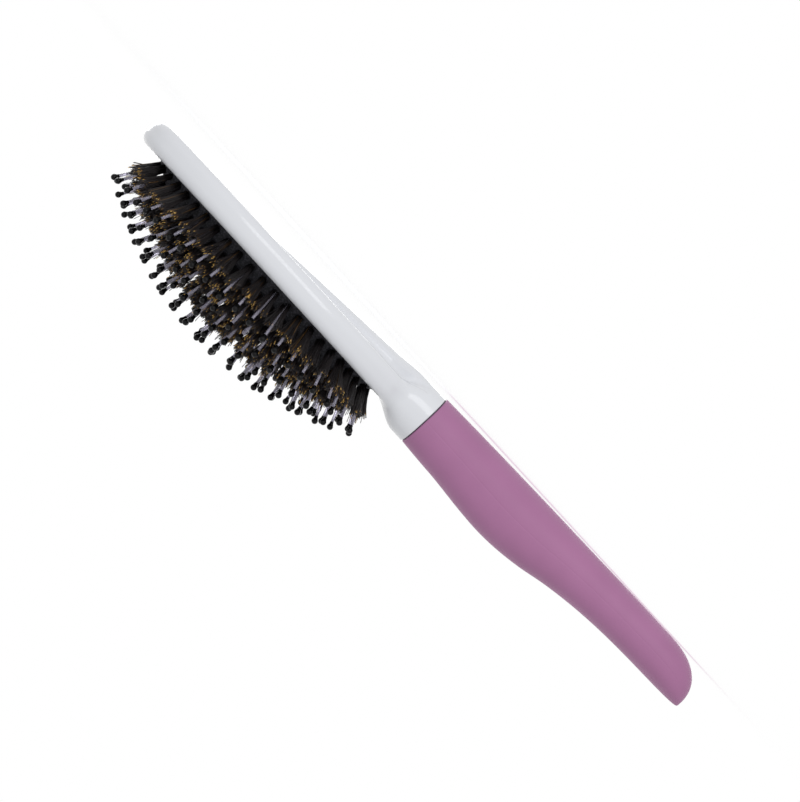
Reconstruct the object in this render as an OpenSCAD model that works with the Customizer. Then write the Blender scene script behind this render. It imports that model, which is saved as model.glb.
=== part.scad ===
// Oval cushion hairbrush, lying on its back: +X runs along the brush to the tip of the head,
// +Z is the way the bristles point, and the origin is under the middle of the brush.

/* [Head] */
// Height of the head's face, where the cushion sits
face_z = 16.4; // [15.5:0.1:18]
// Length of the oval plate
head_len = 114.6; // [112:0.2:120]
// Width of the oval plate
head_w = 66; // [62:0.5:72]
// Thickness of the oval plate
plate_t = 8.9; // [8.5:0.1:10]
// Radius of the plate's rounded edges
plate_edge_r = 3.6; // [2.5:0.1:4]
// Radius in plan at the plate's two ends
plate_end_r = 21; // [19:0.5:24]

/* [Neck] */
// Length of the neck, from the plate's end to the seam
neck_len = 7.9; // [6:0.1:12]
// Height of the collar's lowest line
collar_low = 1.8; // [1.2:0.1:2.4]
// Height of the collar's highest line
collar_high = 20.3; // [19.5:0.1:20.8]
// Length of the ridge along the back, from the seam
ridge_len = 79; // [60:1:90]

/* [Cushion] */
// Width of the white rim at the tip of the head
rim_tip_w = 9.6; // [9:0.1:11]
// Width of the white rim at the sides of the head
rim_side_w = 8.5; // [8:0.1:10]
// Radius in plan at the cushion's two ends
pad_end_r = 14; // [13:0.5:16]
// Height of the dome above the face
dome_h = 13.8; // [13:0.1:14.2]
// Thickness of the rubber
pad_t = 1.8; // [1.5:0.1:2]
// Depth of the recess that holds the cushion
recess_depth = 5.5; // [5.4:0.1:6]
// How far the cushion's bead stands out into the groove
bead_w = 1.2; // [0.8:0.1:1.4]
// Height of the bead
bead_h = 1.6; // [1.2:0.1:1.8]

/* [Bristles] */
// Distance from one tuft to the next along a ring, and from ring to ring
tuft_pitch = 5.3; // [5.2:0.1:6]
// Radius at the two ends of the outermost ring of tufts
field_end_r = 10; // [9:0.2:10.6]
// Height above the face of the tufts' roots at the cushion's two ends
end_root_h = 1; // [0.9:0.1:2]
// Height above the face of the tufts' roots at the cushion's two sides
side_root_h = 2; // [1.6:0.1:2.5]
// Lean of the outermost tufts to the side, in degrees
side_lean = 32; // [26:1:34]
// Length of the boar bristles above the rubber
boar_len = 9; // [7:0.1:11]
// Length of the nylon pins above the rubber, to the middle of the ball
pin_len = 14.8; // [13:0.1:17]
// Radius of a tuft where it leaves the rubber
tuft_r = 1.2; // [0.9:0.05:1.25]
// Radius of a tuft at its widest, near the tips
tuft_tip_r = 1.9; // [1.4:0.1:2]
// Radius of a nylon pin
pin_r = 0.5; // [0.4:0.05:0.55]
// Radius of a ball tip
ball_r = 1; // [0.8:0.05:1.2]

/* [Handle] */
// Length of the handle, from the seam to its end
handle_len = 117.5; // [110:0.5:122]
// Width of the handle at the seam
seam_w = 22.4; // [21:0.2:24]
// Width of the handle at the swell for the palm
palm_w = 25; // [24:0.2:27]
// Width of the handle before its rounded end
tail_w = 22.6; // [20:0.2:24]
// Thickness of the soft sleeve
sleeve_t = 1.4; // [1.2:0.1:1.8]
// Width of the dark line between the collar and the sleeve
seam_gap = 0.5; // [0.4:0.05:0.8]

/* [Tang] */
// Length of the tang inside the handle
tang_len = 44; // [36:1:50]
// Width of the tang
tang_w = 13; // [11:0.2:14]
// Height of the tang
tang_h = 9; // [8:0.2:10]

/* [Fits] */
// Gap between pieces that slide together
fit_gap = 0.05; // [0.04:0.01:0.08]
// Gap between the rubber and the frame around it
rubber_gap = 0.1; // [0.08:0.01:0.15]

/* [Hidden] */
$fn = 48;

// Places along the brush
brush_len = head_len + neck_len + handle_len;
tip_x = brush_len / 2;
head_x = tip_x - head_len / 2;
seam_x = handle_len - brush_len / 2;

// Cushion outline and dome
pad_half_len = head_len / 2 - rim_tip_w;
pad_half_w = head_w / 2 - rim_side_w;
dome_r = arc_radius(pad_half_w, dome_h);
dome_sweep_r = arc_radius(pad_half_len, dome_h);
axis_drop = dome_r - dome_h;
recess_z = face_z - recess_depth;
skirt_t = 1.4;
skirt_top = 0.4;
dome_bottom = 1;

// Bristle field
last_root_x = sqrt(pow(dome_sweep_r, 2) - pow(dome_sweep_r - dome_h + end_root_h, 2));
full_turn = acos((axis_drop + side_root_h) / dome_r);
field_half_len = dome_sweep_r * asin(last_root_x / dome_sweep_r) * PI / 180;
field_half_w = dome_r * full_turn * PI / 180;
ring_count = round(field_half_w / tuft_pitch);
ring_step = field_half_w / ring_count;
middle_share = 0.3;
knot_drop = 2.85;
knot_t = 0.6;
knot_r = tuft_r + 0.15;
pin_head_r = pin_r + 0.4;
pin_head_t = 0.5;
zone_floors = [for (share = [0, 0.25, 0.46, 0.64, 0.8, 0.91]) share * dome_h];

// Collar: level part of its underside, rise of its top from the face, depth sunk in the plate, end radius,
// and where the recess's wall stands, all by distance before the seam
collar_len = 9;
rise_from = 14.5;
rise_to = 4.5;
sunk = 0.3;
collar_r = 0.5;
wall_d = neck_len + rim_tip_w - 0.5;

// Tang: height of its axis, length cast into the neck, and room past its end in the core
tang_z = 11;
tang_root = 6;
socket_room = 3;

// Handle sections
section_points = 28;
mouth_r = 0.5;
end_start = handle_len - 17.5;
top_edge_z = face_z - 1.8;
core_inset = sleeve_t + fit_gap;
flange_inset = 0.5;

// ---- Curves ----

// Radius of the arc with this half chord and this rise
function arc_radius(half, rise) = (half * half + rise * rise) / (2 * rise);

// Smooth step from 0 to 1 as t goes from a to b
function smooth(a, b, t) = let (u = max(0, min(1, (t - a) / (b - a)))) u * u * (3 - 2 * u);

// Value at t of the curve through points [[t, value], ...], with slopes taken from the neighbours
function slope(p, i) =
    let (a = p[max(0, i - 1)], b = p[min(len(p) - 1, i + 1)]) (b[1] - a[1]) / (b[0] - a[0]);
function span_of(p, t) = max([for (i = [0 : len(p) - 2]) if (i == 0 || t >= p[i][0]) i]);
function curve(p, t) =
    let (
        i = span_of(p, t),
        w = p[i + 1][0] - p[i][0],
        u = max(0, min(1, (t - p[i][0]) / w)),
        u2 = u * u,
        u3 = u2 * u
    )
    (2 * u3 - 3 * u2 + 1) * p[i][1] + (u3 - 2 * u2 + u) * w * slope(p, i)
    + (3 * u2 - 2 * u3) * p[i + 1][1] + (u3 - u2) * w * slope(p, i + 1);

// Signed power, which squares up a circle into a rounded box
function squared(v, n) = sign(v) * pow(abs(v), 2 / n);

// Ring of points at x, between heights low and high, with this half width
function ring(x, half_w, low, high, n) = [
    for (i = [0 : section_points - 1])
        let (a = 360 * i / section_points)
        [x, half_w * squared(cos(a), n), (low + high) / 2 + (high - low) / 2 * squared(sin(a), n)]
];

// Closed solid through a list of rings, whose points run anticlockwise as seen from the first ring's side
module loft(rings) {
    m = len(rings[0]);
    last = len(rings) - 1;
    points = [for (r = rings) for (p = r) p];
    sides = [
        for (i = [0 : last - 1]) for (j = [0 : m - 1])
            let (k = (j + 1) % m, a = i * m + j, b = i * m + k, c = (i + 1) * m + k, d = (i + 1) * m + j)
            each [[a, b, c], [a, c, d]]
    ];
    first_cap = [for (j = [m - 1 : -1 : 0]) j];
    last_cap = [for (j = [0 : m - 1]) last * m + j];
    polyhedron(points = points, faces = concat(sides, [first_cap, last_cap]), convexity = 6);
}

// ---- Ovals of four arcs ----

// Distance of the end arcs' centres, and radius and centre distance of the side arcs
function end_c(half_len, end_r) = half_len - end_r;
function side_r(half_len, half_w, end_r) =
    (pow(half_len - end_r, 2) + half_w * half_w - end_r * end_r) / (2 * (half_w - end_r));
function side_c(half_len, half_w, end_r) = side_r(half_len, half_w, end_r) - half_w;

// Points round an oval of four arcs, drawn in by inset
function arc_points(centre, r, from, to, n) =
    [for (i = [0 : n - 1]) let (a = from + (to - from) * i / n) centre + r * [cos(a), sin(a)]];
function oval_points(half_len, half_w, end_r, inset) =
    let (
        ec = end_c(half_len, end_r),
        sr = side_r(half_len, half_w, end_r),
        sc = side_c(half_len, half_w, end_r),
        meet = atan2(sc, ec)
    )
    concat(
        arc_points([ec, 0], end_r - inset, -meet, meet, 16),
        arc_points([0, -sc], sr - inset, meet, 180 - meet, 16),
        arc_points([-ec, 0], end_r - inset, 180 - meet, 180 + meet, 16),
        arc_points([0, sc], sr - inset, 180 + meet, 360 - meet, 16)
    );

// ---- Head frame ----

// The plate's outline at a height, drawn in by inset
function plate_ring(z, inset) =
    [for (p = oval_points(head_len / 2, head_w / 2, plate_end_r, inset)) [head_x + p[0], p[1], z]];

module plate() {
    r = plate_edge_r;
    loft(concat(
        [for (a = [90 : -15 : 0]) plate_ring(face_z - r + r * sin(a), r - r * cos(a))],
        [for (a = [0 : 15 : 90]) plate_ring(face_z - plate_t + r - r * sin(a), r - r * cos(a))]
    ));
}

// The ridge and collar: lowest and highest line and half width, by distance d before the seam
function ridge_low(d) =
    collar_low + (face_z - plate_t - collar_low) * max(0, d - collar_len) / (ridge_len - collar_len)
    * smooth(2, 20, d);
function ridge_high(d) =
    d > wall_d ? recess_z - 1 : face_z - sunk + (collar_high - face_z + sunk) * smooth(rise_from, rise_to, d);
function ridge_half_w(d) = curve([
        [0, seam_w / 2], [6, seam_w / 2 + 0.1], [10, 12.4], [15, 14.4], [22, 12.6],
        [ridge_len / 2, 9.5], [ridge_len, 5]
    ], d);

module ridge() {
    stops = concat(
        [for (share = [1, 0.85, 0.7, 0.55, 0.4, 0.27, 0.16, 0.07, 0.001])
            wall_d + (ridge_len - wall_d) * share],
        [for (share = [16 : -1 : 1]) wall_d * share / 16],
        [0.6, 0]
    );
    loft([
        for (d = stops)
            let (inset = collar_r * smooth(0.9, 0, d))
            ring(seam_x + d, ridge_half_w(d) - inset, ridge_low(d) + inset, ridge_high(d) - inset, 2.5)
    ]);
}

module tang_shape(grow) {
    h = tang_h + 2 * grow;
    flat = tang_w - tang_h;
    square([flat, h], center = true);
    for (side = [-1, 1]) translate([side * flat / 2, 0]) circle(d = h);
}

// A bar along X with the tang's section, from x = 0 towards -X
module tang_bar(length, grow) {
    rotate([0, -90, 0]) rotate([0, 0, 90]) linear_extrude(height = length) tang_shape(grow);
}

module head_frame() {
    color("whitesmoke")
        difference() {
            union() {
                plate();
                ridge();
                translate([seam_x + tang_root, 0, tang_z]) tang_bar(tang_len + tang_root, 0);
            }
            translate([head_x, 0, recess_z]) {
                pad_prism(rubber_gap, recess_depth + 10);
                pad_prism(bead_w + rubber_gap, bead_h + rubber_gap);
            }
        }
}

// ---- Cushion ----

// Upright block with the cushion's outline, grown all round
module pad_prism(grow, h) {
    linear_extrude(height = h) polygon(oval_points(pad_half_len, pad_half_w, pad_end_r, -grow));
}

// Radius of the dome's surface about its lengthwise axis, at x from its middle
function dome_radius(x) = dome_r - dome_sweep_r + sqrt(dome_sweep_r * dome_sweep_r - x * x);

// Part of a solid of revolution about the dome's axis, above the face
module about_dome_axis() {
    sweep = 64;
    translate([0, 0, -axis_drop])
        rotate([0, 90, 0])
            rotate([0, 0, 180 - sweep])
                rotate_extrude(angle = 2 * sweep, $fn = 180) children();
}

module dome_shell() {
    about_dome_axis()
        intersection() {
            difference() {
                translate([dome_r - dome_sweep_r, 0]) circle(r = dome_sweep_r, $fn = 360);
                translate([dome_r - dome_sweep_r, 0]) circle(r = dome_sweep_r - pad_t, $fn = 360);
            }
            translate([dome_r / 3, -pad_half_len - 8]) square([dome_r, 2 * pad_half_len + 16]);
        }
}

module cushion_blank() {
    intersection() {
        dome_shell();
        translate([0, 0, -dome_bottom]) pad_prism(0, dome_bottom + dome_h + 5);
    }
    translate([0, 0, -recess_depth])
        difference() {
            union() {
                pad_prism(0, recess_depth - skirt_top);
                pad_prism(bead_w, bead_h);
            }
            translate([0, 0, -1]) pad_prism(-skirt_t, recess_depth + 2);
        }
}

module cushion_pad() {
    color("#2b2b30")
        difference() {
            translate([head_x, 0, face_z]) cushion_blank();
            for (s = stations) on_station(s)
                translate([0, 0, -knot_drop]) cylinder(r = tuft_r + fit_gap, h = 2 * knot_drop);
            for (s = stations) if (zone_of(s) == 1) on_station(s) knot_room();
        }
}

// Room in the skirt for the outermost knots and pin heads
module knot_room() {
    room_h = knot_t + pin_head_t + 4 * fit_gap;
    translate([0, 0, -knot_drop - room_h]) cylinder(r = knot_r + rubber_gap, h = room_h + fit_gap);
}

// ---- Bristle field ----

// The field is laid out flat, as if the rubber were rolled out: rings of tufts on ovals of four arcs, each
// drawn in from the one outside it. Where the end arcs are used up, the two side arcs cross in a point.
field_side_c = side_c(field_half_len, field_half_w, field_end_r);
field_side_r = side_r(field_half_len, field_half_w, field_end_r);
field_meet = atan2(field_side_c, end_c(field_half_len, field_end_r));

// Angle at which the side arc of a ring starts, and lengths of its end arc and of a quarter of it
function side_from(inset) = max(field_meet, asin(min(1, field_side_c / (field_side_r - inset))));
function end_part(inset) = max(0, field_end_r - inset) * field_meet * PI / 180;
function quarter(inset) = end_part(inset) + (field_side_r - inset) * (90 - side_from(inset)) * PI / 180;

// Point of a ring at a length from its end, within the first quarter
function on_quarter(inset, length) =
    length < end_part(inset)
        ? let (r = field_end_r - inset, a = length / r * 180 / PI)
            [end_c(field_half_len, field_end_r) + r * cos(a), r * sin(a)]
        : let (r = field_side_r - inset, a = side_from(inset) + (length - end_part(inset)) / r * 180 / PI)
            [r * cos(a), r * sin(a) - field_side_c];

// Point of a ring at a share of the way round it, which starts at the end next to the brush's tip
function on_ring(inset, share) =
    let (
        q = quarter(inset),
        way = 4 * q * min(share, 1 - share),
        p = on_quarter(inset, min(way, 2 * q - way))
    )
    [way < q ? p[0] : -p[0], share < 0.5 ? p[1] : -p[1]];

// A tuft's place: [x from the cushion's middle, turn about the dome's axis, height above the face]
function station(p) =
    let (
        x = dome_sweep_r * sin(p[0] / dome_sweep_r * 180 / PI),
        turn = p[1] / dome_radius(x) * 180 / PI
    )
    [x, turn, dome_radius(x) * cos(turn) - axis_drop];

middle_count = floor(middle_share * on_quarter(ring_step * (ring_count - 1), 0)[0] / tuft_pitch);
stations = concat(
    [
        for (i = [0 : ring_count - 1])
            let (inset = i * ring_step, n = 2 * round(2 * quarter(inset) / tuft_pitch))
            for (j = [0 : n - 1]) station(on_ring(inset, j / n))
    ],
    [for (j = [-middle_count : middle_count]) station([j * tuft_pitch, 0])]
);

function zone_of(s) = max([for (k = [0 : len(zone_floors) - 1]) if (s[2] >= zone_floors[k]) k + 1]);

// Puts a child on the rubber at one station, leaning as its bristles lean
module on_station(s) {
    translate([head_x + s[0], dome_radius(s[0]) * sin(s[1]), face_z + s[2]])
        rotate([-side_lean * s[1] / full_turn, asin(s[0] / dome_sweep_r), 0])
            children();
}

module in_zone(zone) {
    for (s = stations) if (zone_of(s) == zone) on_station(s) children();
}

module tuft() {
    bore = pin_r + fit_gap;
    rotate_extrude($fn = 16)
        polygon([
            [bore, -knot_drop - knot_t], [knot_r, -knot_drop - knot_t], [knot_r, -knot_drop],
            [tuft_r, -knot_drop], [tuft_r, 0.3], [tuft_tip_r, boar_len - 0.6],
            [tuft_tip_r - 0.3, boar_len], [bore, boar_len]
        ]);
}

module pin() {
    head_z = -knot_drop - knot_t - fit_gap - pin_head_t;
    translate([0, 0, head_z]) {
        cylinder(r = pin_head_r, h = pin_head_t, $fn = 16);
        cylinder(r = pin_r, h = pin_len - head_z, $fn = 16);
    }
}

module ball_tip() {
    translate([0, 0, pin_len])
        difference() {
            sphere(r = ball_r, $fn = 16);
            translate([0, 0, -2 * ball_r]) cylinder(r = pin_r + fit_gap, h = 2 * ball_r + fit_gap, $fn = 16);
        }
}

module tufts(zone) { color("#1d1719") in_zone(zone) tuft(); }
module pins(zone) { color("#c9c4dc") in_zone(zone) pin(); }
module ball_tips(zone) { color("#0b0b0d") in_zone(zone) ball_tip(); }

// ---- Handle ----

// Lines of the handle by distance t past the seam: back, bristle side and half width
back_line = [[0, 1.5], [14, 1.1], [30, 0.75], [45, 0.5], [67, 0.25], [86, 0], [100, 0], [120, 0]];
front_line = [[0, 20.2], [8, 20.6], [16, 20.9], [27, 21.7], [36, 22], [44, 21.5], [53, 20.1],
              [62, 18], [72, 16.3], [82, 15.2], [92, 14.6], [104, 14.3], [120, 14.15]];
width_line = [[0, seam_w / 2], [18, seam_w / 2 + 0.5], [38, palm_w / 2], [64, palm_w / 2 - 0.9],
              [92, tail_w / 2], [120, tail_w / 2]];

// How far the rounded end has closed at t: 1 before it, 0 at the very end
function closing(t, inset) =
    pow(1 - pow(max(0, min(1, (t - end_start) / (handle_len - inset - end_start))), 2.4), 1 / 2.4);

// The handle's section at t, drawn in by inset all round
function handle_ring(t, inset) =
    let (
        k = closing(t, inset),
        high = curve(front_line, t) - inset,
        low = curve(back_line, t) + inset,
        crest = top_edge_z - inset - 0.6,
        z_high = t < end_start ? high : crest + (high - crest) * pow(k, 0.35),
        z_low = t < end_start ? low : crest + (low - crest) * k
    )
    ring(seam_x - t, (curve(width_line, t) - inset) * k, z_low, z_high, 2.4);

// Places along the handle, closer together at the mouth and round the end
function stops(first, inset) = concat(
    [for (t = [4 : 5.33 : end_start]) if (t > first) t],
    [for (a = [0 : 9 : 81]) end_start + (handle_len - inset - end_start) * sin(a)],
    [end_start + (handle_len - inset - end_start) * sin(86)]
);
function reversed(v) = [for (i = [len(v) - 1 : -1 : 0]) v[i]];

module handle_grip() {
    color("#ac7e9e")
        loft(concat(
            reversed([for (t = stops(seam_gap, sleeve_t)) handle_ring(t, sleeve_t)]),
            [handle_ring(seam_gap, sleeve_t)],
            [for (a = [0 : 30 : 90]) handle_ring(seam_gap + mouth_r * (1 - cos(a)), mouth_r * (1 - sin(a)))],
            [for (t = stops(seam_gap + mouth_r, 0)) handle_ring(t, 0)]
        ));
}

module handle_core() {
    color("#2a2230")
        difference() {
            loft(concat(
                [handle_ring(0, flange_inset), handle_ring(seam_gap - fit_gap, flange_inset),
                 handle_ring(seam_gap - fit_gap, core_inset)],
                [for (t = stops(seam_gap, core_inset)) handle_ring(t, core_inset)]
            ));
            translate([seam_x + 1, 0, tang_z]) tang_bar(1 + tang_len + socket_room, fit_gap);
        }
}

// ---- Nodes ----

head_frame();
cushion_pad();
handle_core();
handle_grip();
for (zone = [1 : 6]) {
    tufts(zone);
    pins(zone);
    ball_tips(zone);
}
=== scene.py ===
"""Oval cushion hairbrush: the finished surfaces, their materials and the stage.

+X runs to the tip of the head, +Z is the way the bristles point, and the brush lies on its back.
Shapes are worked out in millimetres and put into the meshes in metres.
"""
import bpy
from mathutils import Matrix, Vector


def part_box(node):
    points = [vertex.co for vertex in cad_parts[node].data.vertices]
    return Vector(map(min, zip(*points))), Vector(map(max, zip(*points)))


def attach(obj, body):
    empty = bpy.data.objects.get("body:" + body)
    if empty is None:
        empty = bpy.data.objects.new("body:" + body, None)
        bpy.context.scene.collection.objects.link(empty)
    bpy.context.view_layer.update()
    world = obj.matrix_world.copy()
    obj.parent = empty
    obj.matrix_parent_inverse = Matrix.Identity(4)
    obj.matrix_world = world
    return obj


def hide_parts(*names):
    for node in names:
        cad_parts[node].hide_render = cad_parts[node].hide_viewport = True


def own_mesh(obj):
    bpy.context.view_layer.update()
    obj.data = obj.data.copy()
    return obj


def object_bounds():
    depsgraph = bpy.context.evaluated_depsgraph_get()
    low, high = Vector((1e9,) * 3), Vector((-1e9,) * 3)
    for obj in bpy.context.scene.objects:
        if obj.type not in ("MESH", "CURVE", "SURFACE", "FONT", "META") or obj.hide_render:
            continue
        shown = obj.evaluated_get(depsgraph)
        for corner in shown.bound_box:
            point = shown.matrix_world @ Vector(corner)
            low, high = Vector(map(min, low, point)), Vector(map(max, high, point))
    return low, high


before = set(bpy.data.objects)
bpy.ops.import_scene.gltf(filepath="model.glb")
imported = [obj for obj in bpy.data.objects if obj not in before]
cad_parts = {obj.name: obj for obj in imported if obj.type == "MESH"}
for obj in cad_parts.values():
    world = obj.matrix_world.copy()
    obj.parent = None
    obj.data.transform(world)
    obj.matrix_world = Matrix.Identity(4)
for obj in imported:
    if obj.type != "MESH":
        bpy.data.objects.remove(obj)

from types import SimpleNamespace

import bpy
import numpy as np
from bpy.props import FloatProperty, FloatVectorProperty, IntProperty, PointerProperty
from mathutils import Matrix, Vector

bl_info = {
    "name": "Cushion Hairbrush",
    "version": (1, 0, 0),
    "blender": (4, 5, 0),
    "location": "View3D > Sidebar > Hairbrush",
    "description": "Builds the finished surfaces of an oval cushion hairbrush on its frame",
    "category": "Add Mesh",
}

MM = 0.001
FACE_Z = 16.4
CAD_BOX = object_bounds()
ZONES = range(1, 7)
SHELL = "shell"
SEED = 41


def node_box(name):
    """Lowest and highest corner of a CAD node, in millimetres."""
    low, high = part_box(name)
    return np.array(low) / MM, np.array(high) / MM


HEAD_LOW, HEAD_HIGH = node_box("head_frame")
PAD_TOP = node_box("cushion_pad")[1][2]
SEAM_X = node_box("handle_core")[1][0]


# ---- Sizes and colours ----


def srgb(code):
    """Linear colour of an sRGB hex code: the standard curve, channel by channel."""
    v = np.array([int(code[i:i + 2], 16) / 255 for i in (1, 3, 5)])
    return tuple(np.where(v <= 0.04045, v / 12.92, ((v + 0.055) / 1.055) ** 2.4))


def length(name, default, description):
    """A length property; its default is given in millimetres."""
    return FloatProperty(name=name, description=description, default=float(default) * MM, min=0.0,
                         precision=5, unit="LENGTH")


def colour(name, code, description):
    """A colour property; its default is given as an sRGB hex code."""
    return FloatVectorProperty(name=name, description=description, default=srgb(code), size=3,
                               min=0.0, max=1.0, subtype="COLOR")


class HeadSizes(bpy.types.PropertyGroup):
    head_len: length("Plate length", 114.6, "Length of the oval plate")
    head_w: length("Plate width", HEAD_HIGH[1] - HEAD_LOW[1], "Width of the oval plate")
    plan_r: length("Plan radius", 21, "Radius in plan at the plate's two ends")
    face_z: length("Face height", FACE_Z, "Height of the plate's face above the surface it lies on")
    plate_t: length("Plate thickness", 8.9, "Thickness of the oval plate")
    edge_r: length("Edge radius", 3.6, "Radius of the plate's rounded edges")
    lip_r: length("Lip radius", 0.6, "Radius of the lip round the cushion")
    rim_tip: length("Rim at the tip", 9.5, "Width of the rim at the tip, up to the opening")
    rim_side: length("Rim at the sides", 8.4, "Width of the rim at the sides, up to the opening")
    open_r: length("Opening radius", 14.1, "Radius in plan at the opening's two ends")
    recess: length("Recess depth", 5.5, "Depth of the recess that holds the cushion")
    neck_w: length("Neck half width", 11.35, "Half width of the collar next to the handle")
    collar_low: length("Collar underside", HEAD_LOW[2], "Height of the collar's lowest line")
    collar_high: length("Collar top", HEAD_HIGH[2], "Height of the collar's highest line")
    ridge_len: length("Ridge length", 79, "Length of the ridge along the back, from the handle's seam")
    collar_r: length("Collar end radius", 0.35, "Radius of the collar's edge at the seam")


class CushionSizes(bpy.types.PropertyGroup):
    half_len: length("Half length", 47.7, "Half the length of the visible rubber")
    half_w: length("Half width", 24.5, "Half the width of the visible rubber")
    end_r: length("End radius", 14, "Radius in plan at the rubber's two ends")
    dome_h: length("Dome height", PAD_TOP - FACE_Z, "Height of the dome above the face")
    roll_r: length("Roll radius", 0.8, "Radius at which the rubber turns down at the lip")
    side_h: length("Side height", 1.5, "How far the rubber goes down behind the lip")


class BristleSizes(bpy.types.PropertyGroup):
    pitch: length("Tuft pitch", 5.3, "Distance from one tuft to the next, along a ring and between rings")
    field_r: length("Field end radius", 10, "Radius at the two ends of the outermost ring of tufts")
    end_root: length("Root height at the ends", 1, "Height of the outermost roots at the two ends")
    side_root: length("Root height at the sides", 2, "Height of the outermost roots at the two sides")
    boar_len: length("Boar length", 9, "Length of the boar bristles above the rubber")
    pin_len: length("Pin length", 14.8, "Length of a nylon pin above the rubber, to the ball's middle")
    tuft_r: length("Tuft root radius", 1.2, "Radius of a tuft where it leaves the rubber")
    tuft_tip_r: length("Tuft tip radius", 2.2, "Radius of a tuft near its tips")
    strand_r: length("Bristle radius", 0.11, "Radius of one boar bristle at its root")
    pin_r: length("Pin radius", 0.5, "Radius of a nylon pin")
    ball_r: length("Ball radius", 1, "Radius of a ball tip")


class GripSizes(bpy.types.PropertyGroup):
    handle_len: length("Handle length", 117.5, "Length of the handle, from the seam to its end")
    seam_w: length("Seam width", 22.4, "Width of the handle at the seam")
    palm_w: length("Palm width", 25, "Width of the handle at the swell")
    tail_w: length("Tail width", 22.6, "Width of the handle before its rounded end")
    sleeve_t: length("Sleeve thickness", 1.4, "Thickness of the soft sleeve")
    seam_gap: length("Seam gap", 0.35, "Width of the dark line between collar and sleeve")
    groove: length("Parting line depth", 0.05, "Depth of the fine line left where the mould halves met")


class Field(bpy.types.PropertyGroup):
    strands: IntProperty(name="Bristles in a tuft", description="Boar bristles in one tuft",
                         default=150, min=3)
    lean: FloatProperty(name="Side lean", description="Lean of the outermost rows, in degrees",
                        default=32.0)
    wisps: IntProperty(name="Wisps in a tuft", description="Wisps that the bristles of a tuft gather in",
                       default=16, min=1)
    unrest: FloatProperty(name="Unevenness", description="How unevenly the tufts stand, in degrees",
                          default=2.2)
    pin_unrest: FloatProperty(name="Pin unevenness", description="How unevenly the pins stand, in degrees",
                              default=1.3)


class Colours(bpy.types.PropertyGroup):
    white: colour("White plastic", "#E6E8ED", "Gloss plastic of the frame")
    mauve: colour("Soft grip", "#AE779F", "Soft-touch coat of the handle")
    # The core's dark colour paints the shade in the gap at the seam; the core's own colour is not seen
    core: colour("Core", "#2A2230", "Satin plastic of the handle's core")
    rubber: colour("Rubber", "#2A2A2F", "Rubber of the cushion")
    bristle: colour("Bristle", "#201A1B", "Boar bristle along its length")
    amber: colour("Bristle tip", "#C8954F", "Boar bristle at its split tip")
    nylon: colour("Nylon", "#D2CEE2", "Nylon of the pins")
    ball: colour("Ball", "#08080A", "Enamel of the ball tips")
    floor: colour("Floor", "#F4F4F4", "Pale card that the brush lies on")


GROUPS = {"hairbrush_head": HeadSizes, "hairbrush_cushion": CushionSizes,
          "hairbrush_bristles": BristleSizes, "hairbrush_grip": GripSizes,
          "hairbrush_field": Field, "hairbrush_colours": Colours}


def in_mm(group):
    """The lengths of a property group in millimetres."""
    return SimpleNamespace(**{name: getattr(group, name) / MM for name in group.__annotations__})


def sizes(scene):
    """All lengths of the brush in millimetres, group by group, with the field's counts as they are."""
    return SimpleNamespace(head=in_mm(scene.hairbrush_head), cushion=in_mm(scene.hairbrush_cushion),
                           bristles=in_mm(scene.hairbrush_bristles), grip=in_mm(scene.hairbrush_grip),
                           field=scene.hairbrush_field)


# ---- Mesh helpers ----


def grid_quads(rows, cols):
    """Corner indices of the quads of a grid that closes on itself from its last column to its first."""
    r, c = np.meshgrid(np.arange(rows - 1), np.arange(cols), indexing="ij")
    d = (c + 1) % cols
    quads = np.stack([r * cols + c, (r + 1) * cols + c, (r + 1) * cols + d, r * cols + d], -1)
    return quads.reshape(-1, 4)


WELD = 2e-4
FLAT_AREA = 1e-7


def welded(points, quads):
    """Merges points that coincide, makes a quad that lost a corner a triangle, and drops flat ones."""
    key = np.round(points / WELD).astype(np.int64)
    _, first, inverse = np.unique(key, axis=0, return_index=True, return_inverse=True)
    points, quads = points[first], inverse.reshape(-1)[quads]
    same = quads == np.roll(quads, -1, axis=1)
    corner = points[quads]
    area = np.linalg.norm(np.cross(corner[:, 2] - corner[:, 0], corner[:, 3] - corner[:, 1]), axis=1)
    lost = same.sum(1)
    whole = quads[(lost == 0) & (area > FLAT_AREA)]
    part, hit = quads[lost == 1], same[lost == 1]
    triangles = part[~hit].reshape(-1, 3)
    return points, whole, triangles


def mesh_object(name, points, faces, material, tone=None):
    """A smooth mesh object at the origin from points in millimetres and arrays of equal-sided faces."""
    mesh = bpy.data.meshes.new(name)
    loops = np.concatenate([f.reshape(-1) for f in faces]).astype(np.int32)
    counts = np.concatenate([np.full(len(f), f.shape[1]) for f in faces])
    mesh.vertices.add(len(points))
    mesh.vertices.foreach_set("co", (points * MM).astype(np.float32).reshape(-1))
    mesh.loops.add(len(loops))
    mesh.loops.foreach_set("vertex_index", loops)
    mesh.polygons.add(len(counts))
    starts = np.concatenate([[0], np.cumsum(counts)[:-1]])
    mesh.polygons.foreach_set("loop_start", starts.astype(np.int32))
    mesh.update(calc_edges=True)
    mesh.validate()
    mesh.polygons.foreach_set("use_smooth", np.ones(len(mesh.polygons), bool))
    if tone is not None:
        values = mesh.attributes.new("tone", "FLOAT", "POINT").data
        values.foreach_set("value", tone.astype(np.float32))
    mesh.materials.append(material)
    piece = bpy.data.objects.new(name, mesh)
    bpy.context.scene.collection.objects.link(piece)
    return piece


def closed_grid(name, points, material, flip=False):
    """A closed object from a grid of points, rows by columns by three, whose columns go all round."""
    rows, cols, _ = points.shape
    quads = grid_quads(rows, cols)
    if flip:
        quads = quads[:, ::-1]
    flat, whole, triangles = welded(points.reshape(-1, 3), quads)
    return mesh_object(name, flat, [whole, triangles], material)


# ---- Curves ----


def smooth(a, b, t):
    """Smooth step from 0 to 1 as t goes from a to b: 3u^2 - 2u^3."""
    u = np.clip((t - a) / (b - a), 0, 1)
    return u * u * (3 - 2 * u)


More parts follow.
